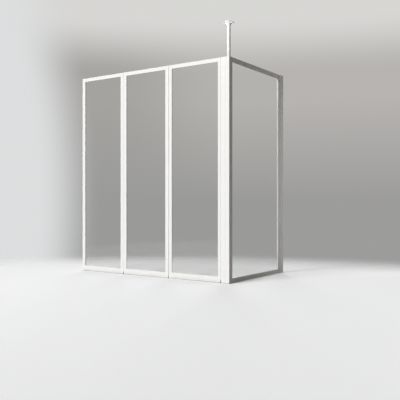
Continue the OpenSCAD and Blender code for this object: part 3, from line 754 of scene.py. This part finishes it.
# Pan head screws with a cross recess, three up each profile
# Outline in mm: radius, then height above the seat of the head
panScrew = {
    "outline": (
        (0.0, -10.0), (1.45, -10.0), (1.75, -9.7), (1.75, 0.0), (3.3, 0.0), (3.5, 0.15), (3.5, 0.75),
        (3.43, 1.08), (3.22, 1.4), (2.82, 1.68), (2.2, 1.88), (1.4, 1.97), (0.0, 2.0),
    ),
    "sides": 40,
    "recessMouth": (1.75, 0.42),
    "recessFloor": (0.75, 0.24),
    "recessDepth": 1.25,
    "recessOver": 0.2,
    "weld": 0.005,
    "turnsDegrees": (20.0, 68.0, 41.0),
    "outwards": {"hinge_profile_screws": (0, 1, 0), "wall_profile_screws": (-1, 0, 0)},
}


def makeScrewMesh():
    look = panScrew
    blank = addObject("panScrew", spinOutline("panScrew", look["outline"], look["sides"]))
    headTop = look["outline"][-1][1]
    mouth = (headTop + look["recessOver"], *look["recessMouth"])
    bottom = (headTop - look["recessDepth"], *look["recessFloor"])
    cutters = []
    for turn in (0, 90):
        spin = Matrix.Rotation(math.radians(turn), 3, "Z")
        outlines = []
        for height, reach, half in (mouth, bottom):
            corners = ((-reach, -half), (reach, -half), (reach, half), (-reach, half))
            outlines.append([spin @ Vector((x * mm, y * mm, height * mm)) for x, y in corners])
        cutter = addObject("recess", skinOutlines("recess", outlines, False))
        cut = blank.modifiers.new("recess", "BOOLEAN")
        cut.operation = "DIFFERENCE"
        cut.solver = "EXACT"
        cut.object = cutter
        cutters.append(cutter)
    made = bpy.data.meshes.new_from_object(blank.evaluated_get(bpy.context.evaluated_depsgraph_get()))
    for spent in (blank, *cutters):
        bpy.data.objects.remove(spent)
    shape = bmesh.new()
    shape.from_mesh(made)
    bmesh.ops.remove_doubles(shape, verts=shape.verts, dist=look["weld"] * mm)
    shape.to_mesh(made)
    shape.free()
    return made


def makePanScrews(nodeName, screwMesh):
    look = panScrew
    low, high = (Vector(corner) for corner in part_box(nodeName))
    outwards = Vector(look["outwards"][nodeName])
    headRadius = max(radius for radius, height in look["outline"]) * mm
    headTop = look["outline"][-1][1] * mm
    middle = (low + high) / 2
    seat = middle + outwards * (abs(outwards.dot(high - low)) / 2 - headTop)
    facing = outwards.to_track_quat("Z", "Y").to_matrix().to_4x4()
    places = []
    for z, turn in zip((low.z + headRadius, middle.z, high.z - headRadius), look["turnsDegrees"]):
        seat.z = z
        places.append(Matrix.Translation(seat) @ facing @ Matrix.Rotation(math.radians(turn), 4, "Z"))
    mesh = joinCopies(nodeName.replace("_screws", "_pan_screws"), screwMesh, places)
    standFor(nodeName, mesh, steel)


screwMesh = makeScrewMesh()
for nodeName in panScrew["outwards"]:
    makePanScrews(nodeName, screwMesh)
print("pan screws ready:", len(screwMesh.polygons), "faces each")


# Covers pressed over the rosette's screw places, in line with its sloping underside
# Outline in mm: radius, then height out of the slope
# The slope goes by radius and depth below the top face
screwCover = {
    "outline": (
        (0.0, -0.9), (3.75, -0.9), (3.95, -0.7), (3.95, 0.0), (3.82, 0.12), (3.2, 0.24), (2.0, 0.34),
        (0.0, 0.38),
    ),
    "sides": 40,
    "circleRadius": 23.0,
    "turnsDegrees": (30.0, 150.0, 270.0),
    "slopeFrom": (16.0, 7.0),
    "slopeTo": (32.0, 3.5),
}


def makeScrewCovers():
    look = screwCover
    low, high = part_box("ceiling_rosette")
    middle = Matrix.Translation(((low[0] + high[0]) / 2, (low[1] + high[1]) / 2, high[2]))
    (innerRadius, innerDepth), (outerRadius, outerDepth) = look["slopeFrom"], look["slopeTo"]
    fall = (innerDepth - outerDepth) / (outerRadius - innerRadius)
    depth = innerDepth - fall * (look["circleRadius"] - innerRadius)
    seat = Matrix.Translation((look["circleRadius"] * mm, 0, -depth * mm))
    tilt = Matrix.Rotation(math.pi - math.atan(fall), 4, "Y")
    turns = [Matrix.Rotation(math.radians(turn), 4, "Z") for turn in look["turnsDegrees"]]
    cover = spinOutline("screwCover", look["outline"], look["sides"])
    mesh = joinCopies("rosette_screw_covers", cover, [middle @ turn @ seat @ tilt for turn in turns])
    rideWith("ceiling_rosette", mesh, moulding)


makeScrewCovers()
print("screw covers ready")


# Floor that fades into the backdrop's tone, with its own glow so that it shows as pale
# "seenByObject" is the tone that the floor throws back on the screen
studioFloor = {
    "tone": (0.9, 0.905, 0.915),
    "seenByObject": (0.44, 0.428, 0.405),
    "glow": 0.225,
    "glowReflected": 0.08,
    "radius": 12.0,
    "sides": 96,
    "middle": (0.6, -1.8, 0.0),
    "fade": (2.8, 3.9),
}


# One for the rays that show a background: straight, in gloss and through glass
def seenRays(tree, path):
    rays = mathNode(tree, "ADD", path.outputs["Is Camera Ray"], path.outputs["Is Glossy Ray"])
    return mathNode(tree, "ADD", rays, path.outputs["Is Transmission Ray"], clamp=True)


def makeFloorMaterial():
    look = studioFloor
    material = bpy.data.materials.new("floorMatt")
    material.use_nodes = True
    tree = material.node_tree
    tree.nodes.clear()
    path = addNode(tree, "ShaderNodeLightPath")
    matt = addNode(tree, "ShaderNodeBsdfDiffuse")
    tone = mixColours(tree, path.outputs["Is Diffuse Ray"], look["tone"], look["seenByObject"])
    join(tree, tone, matt.inputs["Color"])
    glow = addNode(tree, "ShaderNodeEmission")
    reflected = mathNode(tree, "MULTIPLY", seenRays(tree, path), look["glowReflected"])
    straight = mathNode(
        tree, "MULTIPLY", path.outputs["Is Camera Ray"], look["glow"] - look["glowReflected"])
    join(tree, mathNode(tree, "ADD", straight, reflected), glow.inputs["Strength"])
    lit = addNode(tree, "ShaderNodeAddShader")
    join(tree, matt.outputs[0], lit.inputs[0])
    join(tree, glow.outputs[0], lit.inputs[1])
    distance = addNode(tree, "ShaderNodeVectorMath", settings={"operation": "LENGTH"})
    join(tree, addNode(tree, "ShaderNodeTexCoord").outputs["Object"], distance.inputs[0])
    surface = addNode(tree, "ShaderNodeMixShader")
    join(tree, rangeNode(tree, distance.outputs["Value"], look["fade"], smooth=True), surface.inputs[0])
    join(tree, lit.outputs[0], surface.inputs[1])
    join(tree, addNode(tree, "ShaderNodeBsdfTransparent").outputs[0], surface.inputs[2])
    join(tree, surface.outputs[0], addNode(tree, "ShaderNodeOutputMaterial").inputs["Surface"])
    return material


def makeFloor():
    look = studioFloor
    shape = bmesh.new()
    bmesh.ops.create_circle(shape, cap_ends=True, segments=look["sides"], radius=look["radius"])
    floor = addObject("floor", toMesh("floor", shape))
    floor.location = look["middle"]
    floor.data.materials.append(makeFloorMaterial())


# Backdrop: its tones change upwards, and go darker, then pale, towards the left
# "ambient" is the light that it gives the screen
backdrop = {
    "horizon": (0.336, 0.332, 0.33),
    "horizonRange": (0.0, 0.16),
    "middle": (0.47, 0.453, 0.438),
    "middleLeft": (0.385, 0.375, 0.363),
    "middleRange": (-0.52, -0.68),
    "top": (0.68, 0.675, 0.66),
    "topRange": (0.2, 0.29),
    "left": (0.72, 0.73, 0.735),
    "leftRange": (-0.69, -0.76),
    "ambient": (0.088, 0.086, 0.082),
}


def makeBackdrop():
    look = backdrop
    world = bpy.data.worlds.new("studio")
    world.use_nodes = True
    bpy.context.scene.world = world
    tree = world.node_tree
    tree.nodes.clear()
    direction = addNode(tree, "ShaderNodeSeparateXYZ")
    join(tree, addNode(tree, "ShaderNodeTexCoord").outputs["Generated"], direction.inputs[0])
    height, sidewards = direction.outputs["Z"], direction.outputs["X"]
    leftwards = rangeNode(tree, sidewards, look["middleRange"], smooth=True)
    middle = mixColours(tree, leftwards, look["middle"], look["middleLeft"])
    lower = mixColours(tree, rangeNode(tree, height, look["horizonRange"]), look["horizon"], middle)
    seen = mixColours(tree, rangeNode(tree, height, look["topRange"], smooth=True), lower, look["top"])
    seen = mixColours(tree, rangeNode(tree, sidewards, look["leftRange"], smooth=True), seen, look["left"])
    path = addNode(tree, "ShaderNodeLightPath")
    background = addNode(tree, "ShaderNodeBackground")
    join(tree, mixColours(tree, seenRays(tree, path), look["ambient"], seen), background.inputs["Color"])
    join(tree, background.outputs[0], addNode(tree, "ShaderNodeOutputWorld").inputs["Surface"])


# Suns: the key from the front left, and one from behind that gloss doesn't show
suns = {
    "keySun": {
        "place": (-1.14, -5.28, 2.52),
        "target": (0.0, 0.0, 0.0),
        "strength": 2.66,
        "softnessDegrees": 32.0,
        "inGloss": True,
    },
    "backSun": {
        "place": (-3.0, 4.8, 1.56),
        "target": (0.0, 0.0, 0.0),
        "strength": 1.95,
        "softnessDegrees": 25.0,
        "inGloss": False,
    },
}

# Soft boxes: for the screen's upper part, the far end of the side panel and the rosette's underside
softBoxes = {
    "topBox": {
        "place": (-1.6, -2.6, 2.6),
        "target": (-0.4, 0.0, 1.4),
        "size": (1.4, 1.4),
        "watts": 17.0,
        "spreadDegrees": 180.0,
    },
    "sideBox": {
        "place": (0.8, 1.1, 0.5),
        "target": (0.0, 0.7, 0.5),
        "size": (0.3, 1.7),
        "watts": 0.58,
        "spreadDegrees": 60.0,
    },
    "lowBox": {
        "place": (-0.35, -0.9, 0.25),
        "target": (0.0, 0.0, 1.61),
        "size": (0.08, 0.08),
        "watts": 0.043,
        "spreadDegrees": 8.0,
    },
}


def addLamp(name, kind, look):
    lamp = addObject(name, bpy.data.lights.new(name, kind))
    lamp.location = look["place"]
    aim = Vector(look["target"]) - Vector(look["place"])
    lamp.rotation_euler = aim.to_track_quat("-Z", "Y").to_euler()
    lamp.visible_transmission = False
    return lamp


def addSun(name, look):
    sun = addLamp(name, "SUN", look)
    sun.data.energy = look["strength"]
    sun.data.angle = math.radians(look["softnessDegrees"])
    sun.visible_glossy = look["inGloss"]


def addSoftBox(name, look):
    box = addLamp(name, "AREA", look)
    box.data.energy = look["watts"]
    box.data.shape = "RECTANGLE"
    box.data.size, box.data.size_y = look["size"]
    box.data.spread = math.radians(look["spreadDegrees"])
    box.visible_camera = False
    box.visible_glossy = False


makeFloor()
makeBackdrop()
for name, look in suns.items():
    addSun(name, look)
for name, look in softBoxes.items():
    addSoftBox(name, look)
print("studio ready")
